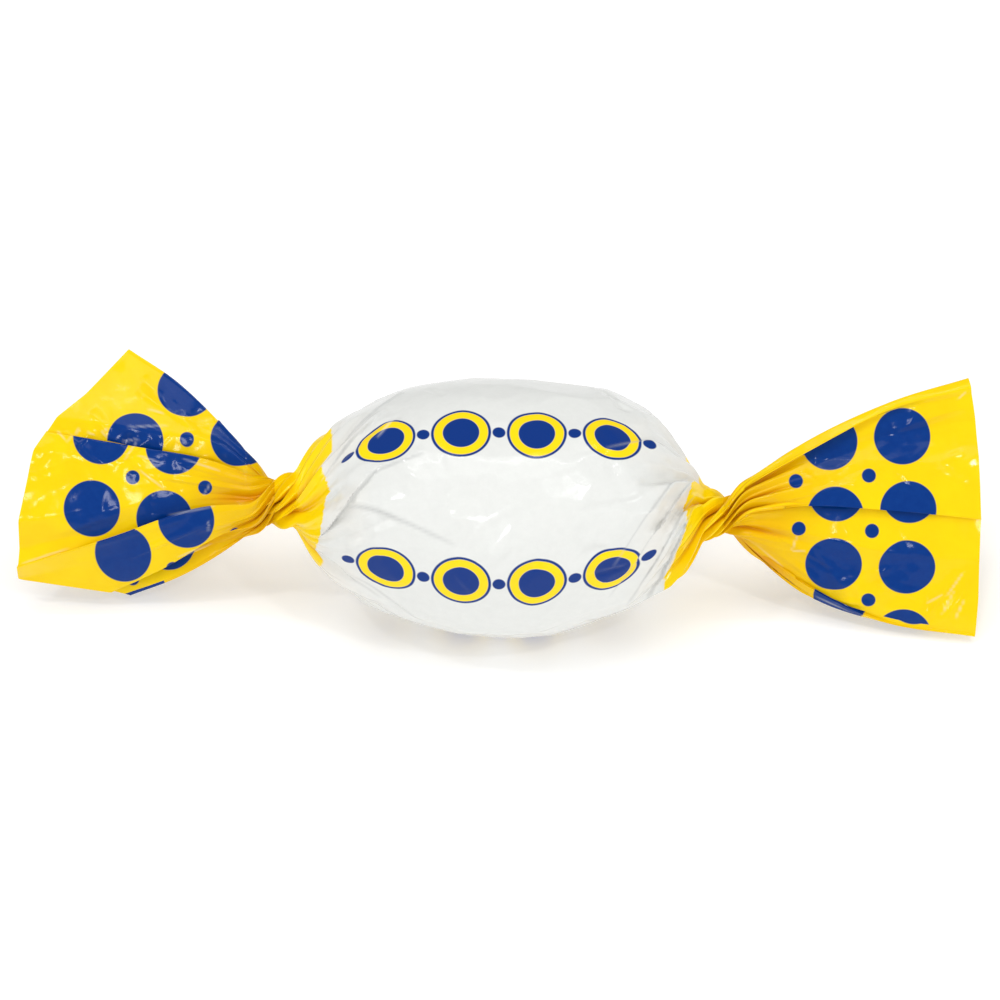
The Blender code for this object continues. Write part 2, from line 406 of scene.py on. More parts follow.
class Pleats:
    """Uneven pleats that lap round the film, as heights from -1 to 1 at a share of the way round.

    Each rises slowly over its lap and then drops steeply onto the next one.
    """

    WIDTHS = (0.6, 1.5)
    HEIGHTS = (0.6, 1.0)
    STARTS = (8.5, 12.5)
    SLIPS = (-0.7, 0.7)
    TILTS = (-1.3, 1.3)

    def __init__(self, seed, count, lap):
        draw = np.random.default_rng(seed)
        widths = draw.uniform(*self.WIDTHS, count)
        widths /= widths.sum()
        self.valleys = np.cumsum(widths) - widths
        self.places = np.stack([self.valleys, self.valleys + lap * widths], axis=1).reshape(-1)
        self.heights = draw.uniform(*self.HEIGHTS, 2 * count)
        self.heights[0::2] *= -1
        self.starts = draw.uniform(*self.STARTS, 2 * count)
        self.slips = draw.uniform(*self.SLIPS, count)
        self.tilts = draw.uniform(*self.TILTS, count) / widths

    def height(self, share):
        return np.interp(share % 1.0, self.places, self.heights, period=1.0)

    def start(self, share):
        """How far from the middle of the belly the pleat at this share begins."""
        return np.interp(share % 1.0, self.places, self.starts, period=1.0)

    def slip(self, share):
        """How far each pleat has slipped along its neighbours, in millimetres, with its slant."""
        share = share % 1.0
        each = np.searchsorted(self.valleys, share, side="right") - 1
        middle = self.valleys + 0.5 * np.diff(np.append(self.valleys, 1.0))
        return self.slips[each] + self.tilts[each] * (share - middle[each])


def hairlines(along, across, lines, half_width):
    """1 along thin creases, each given by its two ends, and 0 away from them."""
    field = np.zeros(np.broadcast(along, across).shape)
    for start, end in lines:
        field = np.maximum(field, tent(along, across, (start, end, half_width, 1.0)))
    return field


def tent(along, across, crease):
    """Height of one crease: a sharp ridge, or a groove, that dies out at both ends.

    Its left side, seen along it, is as wide as the crease says, and its right side can be steeper.
    """
    (from_a, from_b), (to_a, to_b), width, height = crease[:4]
    steep = crease[4] if len(crease) > 4 else 1.0
    length = np.hypot(to_a - from_a, to_b - from_b)
    way = ((to_a - from_a) / length, (to_b - from_b) / length)
    mid_a, mid_b = (from_a + to_a) / 2, (from_b + to_b) / 2
    run = (along - mid_a) * way[0] + (across - mid_b) * way[1]
    off = (across - mid_b) * way[0] - (along - mid_a) * way[1]
    fade = np.sqrt(np.maximum(0.0, 1 - (2 * run / length) ** 2))
    side_width = np.where(off > 0, width, width * steep)
    return height * fade * np.maximum(0.0, 1 - abs(off) / side_width)


def painted_crease_shade_lines(creases):
    """Lines at the foot of the steep creases that start near a neck, along which grey painted shade is
    drawn.
    """
    lines = []
    for (from_a, from_b), (to_a, to_b), width, _, *steep in creases:
        if steep and abs(from_a) > PAINTED_CREASE_SHADE_FROM:
            length = np.hypot(to_a - from_a, to_b - from_b)
            reach = PAINTED_CREASE_SHADE_OFFSET * width * steep[0] / length
            shift_a, shift_b = reach * (to_b - from_b), reach * (from_a - to_a)
            lines.append(((from_a + shift_a, from_b + shift_b), (to_a + shift_a, to_b + shift_b)))
    return lines


CREASE_WIDTHS = (0.12, 0.3)


def random_creases(seed, count, along_range, across_range, lengths, slant, heights):
    """Small creases thrown over the film, as from and to, then half the width and the height."""
    draw = np.random.default_rng(seed)
    creases = []
    for _ in range(count):
        a = draw.uniform(*along_range)
        b = draw.uniform(*across_range)
        length = draw.uniform(*lengths)
        angle = draw.normal(0.0, slant)
        step = (0.5 * length * cos(angle), 0.5 * length * sin(angle))
        width = length * draw.uniform(*CREASE_WIDTHS)
        height = draw.uniform(*heights) * draw.choice([-1, 1])
        creases.append(((a - step[0], b - step[1]), (a + step[0], b + step[1]), width, height))
    return creases


# Crumpled film: how far each wave is bent, and the paces of its bends and of its bare patches
BEND_SHARE = 0.22
BEND_TURN = 0.9
BEND_PACE = 2.3
PATCH_PACES = (1.7, 1.9)
PATCH_SHIFTS = (3, 5)


def crumple(seed, along, across, waves, longest, shortest):
    """Height of crumpled film, in which sharp folds run every way, on a scale of one."""
    draw = np.random.default_rng(seed)
    field = 0.0
    total = 0.0
    for length in np.geomspace(longest, shortest, waves):
        angle = draw.uniform(0, 2 * pi)
        shift, start = draw.uniform(0, 2 * pi, 2)
        beside = along * sin(angle + BEND_TURN) + across * cos(angle + BEND_TURN)
        bend = BEND_SHARE * length * np.sin(beside * BEND_PACE / length + shift)
        place = (along * cos(angle) + across * sin(angle) + bend) / length + start
        wave = 2 * abs(place - np.floor(place + 0.5)) * 2 - 1
        patch = np.sin(along * PATCH_PACES[0] / length + shift * PATCH_SHIFTS[0])
        patch = 0.5 + 0.5 * patch * np.sin(across * PATCH_PACES[1] / length + start * PATCH_SHIFTS[1])
        field = field + length * patch * wave
        total += length
    return field / total


LEFT_PLEATS = Pleats(11, 8, 0.84)
RIGHT_PLEATS = Pleats(23, 9, 0.84)
FINE_PLEATS = Pleats(37, 23, 0.6)

# Creases that show on the front of the belly: from and to, as X and the way round in millimetres
# from the middle of its front, then half the width and the height
BELLY_CREASES = (
    ((-14.4, -2.6), (-9.0, 4.0), 2.0, 0.66, 0.12),
    ((-10.4, 3.0), (-5.6, 4.6), 0.8, 0.28, 0.2),
    ((-12.6, 1.2), (-3.0, -2.8), 1.9, 0.38, 0.3),
    ((-13.5, -4.5), (-7.5, -0.6), 1.0, -0.33),
    ((-13.8, 6.4), (-8.6, 10.6), 1.1, 0.42, 0.2),
    ((-12.4, 8.4), (-7.4, 13.4), 0.9, 0.30, 0.2),
    ((-13.6, -6.4), (-9.0, -11.0), 1.2, 0.45, 0.25),
    ((-11.8, -7.6), (-5.6, -12.6), 1.0, 0.27, 0.3),
    ((15.2, 1.0), (8.6, -9.8), 0.8, 0.60, 0.25),
    ((15.4, -1.5), (9.8, -12.5), 0.7, 0.55, 0.3),
    ((15.0, 3.5), (8.8, -6.0), 0.8, 0.39, 0.3),
    ((15.2, -4.0), (11.6, -14.5), 0.6, 0.46, 0.3),
    ((15.0, 6.0), (9.6, -1.5), 1.2, -0.24),
    ((14.6, 8.5), (8.2, 4.8), 1.1, 0.27, 0.3),
    ((14.6, 11.0), (7.4, 12.6), 1.2, 0.36, 0.25),
    ((13.2, 14.6), (4.6, 15.4), 1.2, 0.24, 0.3),
    ((2.0, -0.4), (-1.9, -5.0), 1.0, 0.36, 0.3),
    ((0.6, 0.6), (-3.2, -3.2), 0.8, 0.28, 0.3),
    ((3.4, -3.4), (0.6, -7.4), 0.8, -0.20),
    ((-3.4, 1.0), (-6.4, -2.6), 1.0, 0.21, 0.4),
    ((-10.2, 10.5), (-6.4, 5.4), 1.1, 0.21),
    ((-2.0, 12.5), (5.0, 14.2), 1.2, 0.18, 0.4),
    ((4.5, 2.6), (9.6, 4.4), 1.1, 0.15, 0.5),
    ((3.0, -12.4), (9.0, -10.2), 1.0, 0.21, 0.4),
    ((-5.2, -14.6), (2.2, -12.6), 1.1, 0.18, 0.4),
)

# Small creases thrown over the belly: seed, number, where they lie along and round it, their
# lengths, slant and heights
BELLY_SCATTER = (
    (5, 46, (-14, -7), (-31, 31), (2.0, 6.0), 0.6, (0.06, 0.26)),
    (6, 46, (7, 14), (-31, 31), (2.0, 6.0), 0.6, (0.06, 0.26)),
    (7, 40, (-8, 8), (-31, 31), (1.5, 6.5), 1.2, (0.03, 0.11)),
)

# Small creases that show on the front of the tails: from and to, as X and W, then as above
LEFT_TAIL_CREASES = [
    ((-33.8, 5.4), (-30.6, 2.6), 0.7, 0.20, 0.3),
    ((-33.4, 3.6), (-31.4, 5.6), 0.5, 0.14, 0.4),
    ((-29.6, 3.0), (-27.0, 4.8), 0.7, 0.18, 0.3),
    ((-30.4, 5.2), (-27.4, 2.0), 0.6, 0.12, 0.5),
    ((-28.2, 8.6), (-23.6, 5.6), 0.8, 0.16, 0.4),
    ((-27.6, 9.8), (-25.2, 6.6), 0.8, -0.14),
    ((-25.0, 3.0), (-19.6, 1.4), 0.5, 0.16, 0.3),
    ((-26.4, 1.8), (-20.2, 0.9), 0.5, 0.14, 0.3),
    ((-34.6, -2.6), (-29.6, -1.0), 0.7, 0.12, 0.5),
    ((-31.6, -3.6), (-24.2, -1.4), 0.5, 0.12, 0.3),
    ((-29.0, -4.6), (-23.0, -2.0), 0.5, 0.14, 0.3),
]
RIGHT_TAIL_CREASES = [
    ((20.6, -1.2), (26.2, -4.2), 0.5, 0.16, 0.3),
    ((21.0, -2.6), (25.4, -5.6), 0.5, 0.16, 0.3),
    ((24.6, -2.6), (27.0, -5.8), 0.6, 0.12, 0.4),
    ((21.4, 0.9), (27.4, 2.4), 0.5, 0.12, 0.3),
    ((23.6, 3.4), (30.6, 6.4), 0.7, -0.14),
    ((30.6, 6.6), (36.2, 8.4), 0.9, 0.14, 0.5),
    ((33.4, -8.2), (35.8, -4.4), 0.6, 0.16, 0.3),
    ((34.6, -8.6), (36.4, -6.0), 0.5, 0.14, 0.4),
    ((29.4, -5.2), (33.0, -6.6), 0.6, 0.10, 0.5),
    ((24.0, -6.4), (29.4, -7.2), 0.5, 0.16, 0.3),
]

# Thin creases along which white is painted, partly as film turned white at its creases and partly
# as painted highlights: their ends, as X and W on the tails and as X and the way round on the belly.
# On the tails they are also raised a little.
LEFT_HAIRLINES = (
    ((-34.4, 5.5), (-33.7, 4.7)),
    ((-33.6, 4.5), (-32.6, 5.7)),
    ((-32.1, 5.4), (-31.4, 5.1)),
    ((-30.9, 5.3), (-30.3, 5.7)),
    ((-30.9, 5.4), (-30.4, 4.9)),
    ((-29.0, 5.75), (-25.7, 5.85)),
    ((-29.4, 4.6), (-28.0, 4.85)),
    ((-28.0, 4.85), (-29.1, 3.2)),
    ((-28.1, 3.55), (-26.3, 3.0)),
    ((-28.0, 2.45), (-26.0, 0.9)),
    ((-27.4, 7.1), (-26.0, 6.8)),
    ((-25.8, -1.1), (-22.0, -0.4)),
    ((-24.6, 3.3), (-21.6, 2.3)),
    ((-25.1, -4.4), (-22.4, -3.3)),
    ((-23.0, 0.4), (-22.4, 1.4)),
    ((-22.6, -1.5), (-22.6, -2.4)),
    ((-37.3, -4.9), (-33.6, -3.7)),
)
RIGHT_HAIRLINES = (
    ((22.8, -2.8), (23.2, -1.6)),
    ((22.8, -2.8), (23.9, -2.8)),
    ((19.9, -2.2), (22.2, -4.1)),
    ((20.0, -3.1), (20.8, -4.0)),
    ((34.9, -6.4), (36.2, -4.4)),
    ((34.6, -7.8), (35.5, -5.9)),
    ((35.6, -8.2), (36.3, -6.6)),
    ((33.4, -6.9), (34.6, -6.2)),
    ((35.7, 9.0), (36.3, 9.6)),
    ((24.8, -6.3), (27.6, -7.6)),
)
BELLY_HAIRLINES = (
    ((-9.4, 6.9), (-6.9, 10.4)),
    ((-13.0, 0.2), (-9.2, 4.0)),
    ((-12.4, -3.4), (-9.6, -1.6)),
    ((6.4, -8.0), (9.4, -9.6)),
)

# One tail: its side, its creases, the pleats of its neck, the seed of its bulges, its small
# creases and those thrown over it, its lines of painted highlight (partly film turned white), and
# the frames of its print. A frame is for the part after the crease that it is named by: the slant of
# the print, or None where it follows the cut edge, then how far it is shifted across the cut edge
# and along it, in millimetres.
Tail = namedtuple("Tail", "name side creases pleats seed small_creases scatter hairlines frames")
LEFT = Tail(
    name="left_tail_film",
    side=-1,
    creases=LEFT_TAIL,
    pleats=LEFT_PLEATS,
    seed=3,
    small_creases=LEFT_TAIL_CREASES,
    scatter=(61, 30, (-36, -22), (-5, 9), (1.2, 4.0), 0.9, (0.04, 0.11)),
    hairlines=LEFT_HAIRLINES,
    frames={
        "lap: lower edge": (0.0, 10.8, -0.65),
        "lap: flap, lower edge": (radians(-28), 3.3, -2.3),
        "fold: flap, upper edge": (radians(8), 0.3, 0.3),
        "fold: middle, upper edge": (None, PLAIN, 0.0),
        UPPER_EDGE: (0.0, 8.4, 3.8),
    },
)
RIGHT = Tail(
    name="right_tail_film",
    side=1,
    creases=RIGHT_TAIL,
    pleats=RIGHT_PLEATS,
    seed=4,
    small_creases=RIGHT_TAIL_CREASES,
    scatter=(71, 30, (22, 36), (-8, 8), (1.2, 4.0), 0.9, (0.04, 0.11)),
    hairlines=RIGHT_HAIRLINES,
    frames={
        "lap: lower edge": (0.0, 0.9, -3.2),
        "fold: main, middle tuck": (None, PLAIN, 0.0),
        "fold: main, upper tuck": (None, PLAIN, 0.0),
        "lap: upper band, lower edge": (None, PLAIN, 0.0),
    },
)


def belly_points(form):
    """The sheet rolled round the sweet: its points, its map in millimetres and its fields."""
    reach_x = form.neck_x + TUCKED_LENGTH
    steps = np.linspace(-1.0, 1.0, BELLY_ROWS + 1)
    x = reach_x * (EVEN_ROWS * steps + CLOSER_ROWS * np.sin(steps * pi / 2) ** 3)[:, None]
    share = (JOIN + np.arange(BELLY_COLUMNS + 1) / BELLY_COLUMNS)[None, :]
    angle = -pi / 2 + 2 * pi * share + form.twist(x)
    distance = abs(x)
    left = x < 0
    swell = mix(form.swell(angle), 1.0, ease(distance, ROUND_FROM * form.neck_x, form.neck_x))
    round_v = (share - FRONT) * form.film_round

    def either_side(measure):
        return np.where(left, measure(LEFT_PLEATS, share), measure(RIGHT_PLEATS, share))

    coarse, start, slip = map(either_side, (Pleats.height, Pleats.start, Pleats.slip))
    depth = mix(
        BELLY_PLEAT * ease(distance, start, start + PLEAT_RAMP),
        NECK_PLEAT,
        ease(distance, NECK_PLEAT_FROM, form.neck_x),
    )
    fine = FINE_PLEATS.height(share) * mix(
        BELLY_FINE_PLEAT * ease(distance, start - FINE_PLEAT_LEAD, start + FINE_PLEAT_RAMP),
        NECK_FINE_PLEAT,
        ease(distance, NECK_FINE_PLEAT_FROM, form.neck_x),
    )
    reach = form.skin_radius(x) * swell + depth * (coarse - PLEAT_BALANCE) + fine

    calm = 1 - ease(distance, *CALM_RAMP)
    slack = SLACK_MIDDLE + SLACK_ADDED * ease(distance, *SLACK_RAMP)
    reach = reach + calm * slack * crumple(17, x, round_v, waves=9, longest=9.0, shortest=2.2)
    small_creases = list(BELLY_CREASES)
    for scatter in BELLY_SCATTER:
        small_creases += random_creases(*scatter)
    for crease in small_creases:
        reach = reach + calm * tent(x, round_v, crease)
    reach = reach * (1 - TUCKED_SHARE * ease(distance, form.neck_x, reach_x))
    w, d = form.centre_w(x) + reach * np.sin(angle), reach * np.cos(angle)
    points = stretch_flat(np.stack(np.broadcast_arrays(x, w, d), axis=-1), form)

    low = ease(-points[..., 1], *LOW_RAMP)
    yellow_from = np.where(left, YELLOW_FROM_LEFT, YELLOW_FROM_RIGHT - YELLOW_DRAWN_LOW * low)
    # Painted highlight along the pleat ridges near the necks
    ridge_glint = RIDGE_GLINT_SHARE * ease(coarse, *RIDGE_GLINT_HEIGHTS) * ease(distance, *RIDGE_GLINT_FROM)
    # Grey painted shade along the foot of the steep creases
    painted_crease_shade = painted_crease_shade_lines(BELLY_CREASES)
    # Painted shade in the pleat valleys near the necks, partly film tucked in layers
    tucked = ease(distance, start + PLEAT_SHADE_MARGIN, form.neck_x - PLEAT_SHADE_MARGIN)
    fields = {
        PAINTED_PLEAT_SHADE: ease(-coarse, *PLEAT_SHADE_HEIGHTS) * tucked,
        PAST: distance - yellow_from - slip,
        WHITENING_AND_GLINT: calm * hairlines(x, round_v, BELLY_HAIRLINES, BELLY_HAIRLINE) + ridge_glint,
        PAINTED_CREASE_SHADE: calm * hairlines(x, round_v, painted_crease_shade, PAINTED_CREASE_SHADE_HAIRLINE),
    }
    maps = np.stack(np.broadcast_arrays(x, round_v), axis=-1)[None]
    return points, maps, np.zeros(BELLY_COLUMNS, dtype=int), fields


def stretch_flat(points, form):
    """Presses many small flat facets into the belly, as film that is pulled tight over a sweet has."""
    draw = np.random.default_rng(41)
    for _ in range(FACETS):
        x0 = draw.uniform(-FACET_SPAN, FACET_SPAN)
        angle = draw.uniform(0, 2 * pi)
        cut = draw.uniform(*FACET_CUTS)
        radius = float(form.skin_radius(np.array(x0))) * float(form.swell(np.array(angle)))
        slope = x0 * form.radius**2 / (form.half_lengths[1] ** 2 * max(radius, 1.0))
        normal = np.array([slope, sin(angle), cos(angle)])
        normal = normal / np.linalg.norm(normal)
        base = np.array([x0, form.centre_w(np.array(x0)) + radius * sin(angle), radius * cos(angle)])
        over = (points - base) @ normal + cut
        near = np.linalg.norm(points - base, axis=-1) < FACET_REACH
        pressed = FACET_FIRMNESS * np.where(near, np.maximum(over, 0.0), 0.0)
        points = points - pressed[..., None] * normal
    return points


def curve_through(neck, marks, out):
    """Points on smooth lines from the neck through the marks, at each share of the way out."""
    knots = [neck] + [marks[:, i] for i in range(3)]
    knots = [2 * knots[0] - knots[1]] + knots + [2 * knots[3] - knots[2]]
    place = np.clip(out * 3, 0, 3 - 1e-9)
    first = np.floor(place).astype(int)
    t = (place - first)[:, None, None]
    stack = np.stack(knots)
    a, b, c, d = (stack[first + i] for i in range(4))
    bent = (2 * a - 5 * b + 4 * c - d) * t**2 + (3 * b - a - 3 * c + d) * t**3
    return 0.5 * (2 * b + (c - a) * t + bent)


def smooth_across(points, rounds):
    """Rounds every fold by a hair, across the film, whose first and last columns are one line."""
    for _ in range(rounds):
        ring = points[:, :-1]
        ring = 0.5 * ring + 0.25 * (np.roll(ring, 1, axis=1) + np.roll(ring, -1, axis=1))
        points = np.concatenate([ring, ring[:, :1]], axis=1)
    return points


def share_columns(creases):
    """Shares a tail's columns out over its creases, by the width of film between them.

    Gives the marks of the creases with the first one repeated, those widths, and for each line of
    points its place among the creases and the crease before it.
    """
    marks = np.array([crease[1] for crease in creases])
    closed = np.concatenate([marks, marks[:1]])
    widths = np.linalg.norm(np.diff(closed[:, 2], axis=0), axis=1)
    widths += MIDDLE_WIDTH_SHARE * np.linalg.norm(np.diff(closed[:, 1], axis=0), axis=1)
    spare = TAIL_COLUMNS - LEAST_COLUMNS * len(widths)
    counts = LEAST_COLUMNS + np.floor(spare * widths / widths.sum()).astype(int)
    counts[-1] += TAIL_COLUMNS - counts.sum()
    place = np.concatenate([i + np.arange(n) / n for i, n in enumerate(counts)] + [[len(counts)]])
    before = np.minimum(place.astype(int), len(counts) - 1)
    return closed, widths, place, before


def tail_points(form, tail):
    """The sheet folded into a tail: its points, its maps in millimetres and its fields."""
    closed, widths, place, before = share_columns(tail.creases)
    part = place - before
    marks = mix(closed[before], closed[before + 1], part[:, None, None])
    crease_shares = np.concatenate([[0], np.cumsum(widths)]) / widths.sum()
    upper = [name for name, _ in tail.creases].index(UPPER_EDGE)
    half = np.interp(crease_shares, [0, crease_shares[upper], 1], [0, 0.5, 1])
    share = np.interp(place, np.arange(len(half)), half)
    out = np.linspace(0.0, 1.0, TAIL_ROWS + 1) ** ROWS_POWER

    angle = -pi / 2 + 2 * pi * share
    pleat, fine_pleat = tail.pleats.height(share), FINE_PLEATS.height(share)
    reach = form.neck_radii[0 if tail.side < 0 else 1]
    reach = reach + NECK_PLEAT * (pleat - PLEAT_BALANCE) + NECK_FINE_PLEAT * fine_pleat
    neck_x = tail.side * form.neck_x
    neck = np.stack(
        [np.full_like(angle, neck_x), reach * np.sin(angle), reach * np.cos(angle)], axis=-1
    )
    centre = float(form.centre_w(np.array(neck_x)))
    points = curve_through(neck, marks - np.array([0, centre, 0]), out)

    draw = np.random.default_rng(tail.seed)
    bulge = draw.uniform(-BULGE, BULGE, len(widths))[before] * (4 * part * (1 - part))
    bulge = bulge * (LEAST_BULGE + widths[before] / widths.max())
    points[..., 2] += bulge[None, :] * ease(out, *BULGE_RAMP)[:, None]
    front = np.where(share < 0.5, 1.0, -1.0)
    fade = (ease(out, *PLEAT_RISE) * (1 - ease(out, *PLEAT_FALL)))[:, None]
    points[..., 2] += TAIL_PLEAT * (front * pleat)[None, :] * fade
    points[..., 2] += TAIL_FINE_PLEAT * (front * fine_pleat)[None, :] * fade

    points = smooth_across(points, 2)
    x, w = points[..., 0], points[..., 1]
    pace, pace_out, pace_slant = FLUTTER_PACES
    flutter = np.sin(pace * w + FLUTTER_START + tail.seed)
    flutter = flutter * np.sin(pace_out * abs(x) + pace_slant * w)
    points[..., 2] += FLUTTER * flutter * ease(out, *FLUTTER_RAMP)[:, None]
    field = TAIL_CRUMPLE * crumple(tail.seed + 50, x, w, waves=11, longest=9.0, shortest=1.3)
    for crease in random_creases(*tail.scatter) + tail.small_creases:
        field += tent(x, w, crease)
    # Thin creases, raised a little and painted white: partly film turned white, partly painted
    # highlights
    whitening_and_glint = hairlines(x, w, tail.hairlines, TAIL_HAIRLINE) * ease(out, *HAIRLINE_RAMP)[:, None]
    field += HAIRLINE_HEIGHT * whitening_and_glint
    points[..., 2] += field * ease(out, *CRUMPLE_RAMP)[:, None]

    turn = form.twist(points[..., 0])
    w, d = points[..., 1].copy(), points[..., 2].copy()
    points[..., 1] = w * np.cos(turn) + d * np.sin(turn)
    points[..., 2] = d * np.cos(turn) - w * np.sin(turn)
    points[..., 1] += centre

    # Painted highlight on the pleat ridges and painted shade in the pleat valleys, partly film tucked
    # in layers, both fading out along the tail
    ridge_glint = RIDGE_GLINT_SHARE * ease(pleat, *RIDGE_GLINT_HEIGHTS)[None, :]
    fields = {
        PAINTED_PLEAT_SHADE: ease(-pleat, *PLEAT_SHADE_HEIGHTS)[None, :] * (1 - ease(out, *PLEAT_SHADE_FALL))[:, None],
        WHITENING_AND_GLINT: whitening_and_glint + ridge_glint * (1 - ease(out, *RIDGE_GLINT_FALL))[:, None],
    }
    maps, column_map = print_maps(tail, closed[:, 2], before, points)
    return points, maps, column_map, fields


def print_maps(tail, edge, panel, points):
    """Lays the print on each flat part of a tail between two folds, square to its cut edge.

    Gives, for each part, the distance from the cut edge and the way along it in millimetres, and
    for each column of faces the part that it is on.
    """
    names = [name for name, _ in tail.creases]
    folds = [i for i, name in enumerate(names) if name.startswith(("fold", "lap"))]
    ends = folds[1:] + [len(names)]
    run = np.concatenate([[0], np.cumsum(np.linalg.norm(np.diff(edge, axis=0), axis=1))])
    maps = []
    for first, last in zip(folds, ends):
        slant, trim, shift = tail.frames.get(names[first], (None, 0.0, 0.0))
        way = edge[last] - edge[first] if slant is None else np.array([sin(slant), cos(slant), 0.0])
        way = way / np.linalg.norm(way)
        inwards = np.array([-tail.side, 0.0, 0.0])
        inwards = inwards - way * (inwards @ way)
        inwards = inwards / np.linalg.norm(inwards)
        offset = points - edge[first]
        along = offset @ inwards + trim
        across = offset @ way + shift + (run[first] if slant is None else 0.0)
        maps.append(np.stack([along, across], axis=-1))
    part = np.searchsorted(folds, panel, side="right") - 1
    for number, column in enumerate(np.searchsorted(panel, folds)):
        if names[folds[number]].startswith("fold"):
            part[column : column + RIM_COLUMNS] = number - 1
        else:
            part[np.arange(column - RIM_COLUMNS, column) % TAIL_COLUMNS] = number
    return np.stack(maps), part


# The angle past which a fold of the film is drawn sharp
SHARP_FOLD = radians(75)

# Numbers of the sockets that have no name of their own
MIX_SHARE, MIX_LOW, MIX_HIGH, MIX_RESULT = 0, 6, 7, 2
ATTRIBUTE_NUMBER = 2
OBJECT_PLACE = 3

# The film's skin: scales and depths of its relief by the metre, and shares of it. A noise is its
# scale, detail and roughness, and a step is its edge and softness.
DRIFT_SCALE = 160.0
DRIFT_REACH = 0.004
FACET_SCALE = 240.0
SMALL_FACET_SCALE = 700.0
SMALL_FACET_SHARE = 0.12
GRAIN_NOISE = (900.0, 3.0, 0.6)
GRAIN_SHARE = 0.15
RELIEF_DEPTH = 0.0003
ROUGHNESS_SCALE = 0.8
ROUGHNESS_DRIFT = 0.1
FILM_IOR = 1.46
TAIL_FINISH = {"roughness": 0.07, "gloss": 0.19, "translucency": 0.12, "crinkle": 0.32}
BELLY_FINISH = {"roughness": 0.08, "gloss": 0.28, "translucency": 0.04, "crinkle": 0.22}

# The print of the tails: sizes in millimetres, and how much of each colour lies over the others
SPOT_EDGE = 0.08
DOT_ROWS = 2
SMALL_DOT = 0.55
# Deeper yellow towards the neck: partly film stacked in layers, partly painted shade
DEEPER_FROM = 10.0
DEEPER_RATE = 0.06
DEEPER_MOST = 0.42
# Share of painted shade in the pleat valleys, partly film tucked in layers
PLEAT_SHADE_SHARE = 0.8
CLOUD_NOISE = (0.3, 3.0, 0.6)
CLOUD_STEP = (0.5, 0.35)
CLOUD_SHARE = 0.14
UNEVEN_NOISE = (1.6, 3.0, 0.6)
UNEVEN_BLUE_SHARE = 0.16
LIGHT_BLUE = (0.02, 0.13, 0.50)
# Share of white on thin creases and pleat ridges: partly film turned white, partly painted highlights
TAIL_GLINT_SHARE = 0.36

# The print of the belly, in the same way
RING_ROWS = 5
RING_PITCH = 5.8
RING_RADII = (2.3, 2.08, 1.4)
LINK_DOT = 0.5
RINGS_END = 12.15
RINGS_SOFTNESS = 0.05
TORN_SCALE = 1.8
TORN_REACH = 0.4
TORN_STEP = (0.2, 0.1)
MOTTLE_NOISE = (1400.0, 4.0, 0.7)
MOTTLE_WHITE = 0.90
PEACH = (0.85, 0.62, 0.36)
PEACH_SCALE = 0.22
PEACH_STEP = (0.52, 0.2)
PEACH_ENDS = (11.5, 4.0)
PEACH_SHARE = 0.14
# Share of white on thin creases and pleat ridges: partly film turned white, partly painted highlights
BELLY_GLINT_SHARE = 0.5
# Grey painted shade at the foot of steep creases
PAINTED_CREASE_SHADE_GREY = (0.40, 0.41, 0.41)
PAINTED_CREASE_SHADE_SHARE = 0.48

# The studio: sizes in metres, and lamps as name, place, width and height, and power in watts
FLOOR_SIZE = 3.0
FLOOR_DROP = 0.00005
ROOM_LIGHT = 0.50
LAMPS = (
    ("top_lamp", (0.0, 0.0, 0.42), (0.36, 0.22), 0.50),
    ("key_lamp", (-0.05, -0.37, 0.22), (0.06, 0.10), 0.36),
    ("left_lamp", (-0.36, -0.12, 0.15), (0.14, 0.14), 0.2),
    ("right_lamp", (0.36, -0.16, 0.15), (0.14, 0.14), 0.3),
    ("left_glint_lamp", (-0.20, -0.06, 0.36), (0.02, 0.02), 0.13),
    ("right_glint_lamp", (0.16, -0.16, 0.34), (0.02, 0.02), 0.13),
    ("strip_lamp", (0.0, 0.05, 0.40), (0.5, 0.012), 0.2),
)

# The camera: its sensor in millimetres, the nearest distance that it sees in metres, the width of
# a pixel at the sweet in millimetres, and the pixel in which the sweet's middle lies
SENSOR_WIDTH = 36.0
NEAREST_SEEN = 0.005
PIXEL = 0.0778
PICTURE_MIDDLE = 500
SWEET_COLUMN = 499
SWEET_ROW = 508


def deselect_all():
    bpy.ops.object.select_all(action="DESELECT")


def film_sheet(name, rows, columns, points, maps, column_map, fields):
    """A flat sheet, its points moved to their places, its map laid on and its long edges joined."""
    deselect_all()
    bpy.ops.mesh.primitive_grid_add(
        x_subdivisions=columns, y_subdivisions=rows, size=2, location=(0, 0, 0)
    )
    sheet = bpy.context.object
    sheet.name = name
    sheet.data.name = name
    mesh = sheet.data
    mesh.vertices.foreach_set("co", points.reshape(-1).astype(np.float32))
    loops = np.empty(len(mesh.loops), dtype=np.int32)
    mesh.loops.foreach_get("vertex_index", loops)
    row, column = np.divmod(loops, columns + 1)
    face_column = np.repeat(column.reshape(-1, 4).min(axis=1), 4)
    flat = maps[column_map[face_column], row, column]
    mesh.uv_layers[0].name = FILM_MAP
    mesh.uv_layers[FILM_MAP].uv.foreach_set("vector", flat.reshape(-1).astype(np.float32))
    for field, values in fields.items():
        layer = mesh.attributes.new(field, "FLOAT", "POINT")
        layer.data.foreach_set("value", values.reshape(-1).astype(np.float32))
    mesh.update()
    bpy.ops.object.mode_set(mode="EDIT")
    bpy.ops.mesh.select_all(action="SELECT")
    bpy.ops.mesh.remove_doubles(threshold=MERGE_DISTANCE)
    bpy.ops.mesh.select_all(action="DESELECT")
    bpy.ops.object.mode_set(mode="OBJECT")
    return sheet


